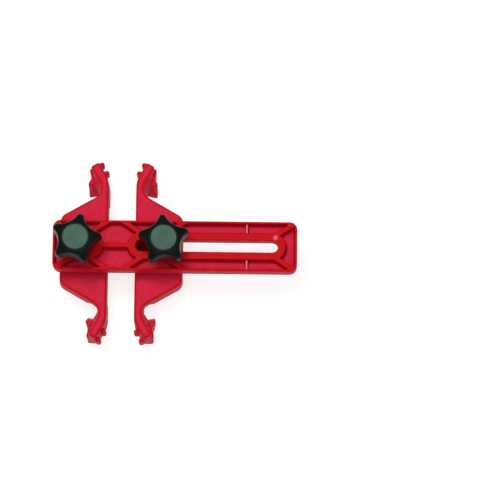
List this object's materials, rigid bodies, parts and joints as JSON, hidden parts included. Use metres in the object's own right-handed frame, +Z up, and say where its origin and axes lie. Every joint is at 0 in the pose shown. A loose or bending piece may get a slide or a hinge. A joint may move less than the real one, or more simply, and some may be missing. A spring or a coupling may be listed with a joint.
{
  "type": "camshaft sprocket locking clamp",
  "caption": "Ribbed slotted plastic bar with twin toothed, hooked jaws clamped below it by star knobs; one jaw slides to hold a pair of camshaft sprockets.",
  "frame": {"origin": "middle of the object's footprint, level with the undersides of the claws it stands on", "axes": "+X along the slotted bar away from the fixed jaw, +Y across the bar, +Z up through the bolts towards the knobs"},
  "size_m": [0.185, 0.1412, 0.0714],
  "materials": {
    "red_nylon": "crimson moulded nylon, satin sheen, faint moulding grain",
    "knob_plastic": "very dark green-black moulded plastic, satin",
    "cap_plastic": "grey-green moulded disc, fine matt texture",
    "zinc_steel": "zinc-plated steel",
    "brass_insert": "turned brass"
  },
  "bodies": {
    "bar": {"slide_bar": "red_nylon", "fixed_jaw": "red_nylon", "fixed_bolt": "zinc_steel"},
    "sliding_jaw": {"sliding_jaw": "red_nylon", "sliding_bolt": "zinc_steel"},
    "fixed_washer": {"fixed_washer": "zinc_steel"},
    "sliding_washer": {"sliding_washer": "zinc_steel"},
    "fixed_knob": {"fixed_knob": "knob_plastic", "fixed_knob_insert": "brass_insert", "fixed_knob_cap": "cap_plastic"},
    "sliding_knob": {"sliding_knob": "knob_plastic", "sliding_knob_insert": "brass_insert", "sliding_knob_cap": "cap_plastic"}
  },
  "joints": [
    {"name": "jaw_slide", "type": "slide", "parent": "bar", "child": "sliding_jaw", "axis": [1, 0, 0], "range_m": [-0.0171, 0.0812]},
    {"name": "fixed_knob_lift", "type": "slide", "parent": "bar", "child": "fixed_washer", "axis": [0, 0, 1], "range_m": [0, 0.0076]},
    {"name": "fixed_knob_turn", "type": "hinge", "parent": "fixed_washer", "child": "fixed_knob", "pos_m": [-0.0742, 0, 0.0467], "axis": [0, 0, 1], "range_deg": [0, 2160]},
    {"name": "sliding_knob_lift", "type": "slide", "parent": "sliding_jaw", "child": "sliding_washer", "axis": [0, 0, 1], "range_m": [0, 0.0076]},
    {"name": "sliding_knob_turn", "type": "hinge", "parent": "sliding_washer", "child": "sliding_knob", "pos_m": [-0.008, 0, 0.0467], "axis": [0, 0, 1], "range_deg": [0, 2160]}
  ],
  "couplings": [
    {"joint": "fixed_knob_lift", "follows": "fixed_knob_turn", "m_per_rad": 0.00019894},
    {"joint": "sliding_knob_lift", "follows": "sliding_knob_turn", "m_per_rad": 0.00019894}
  ]
}
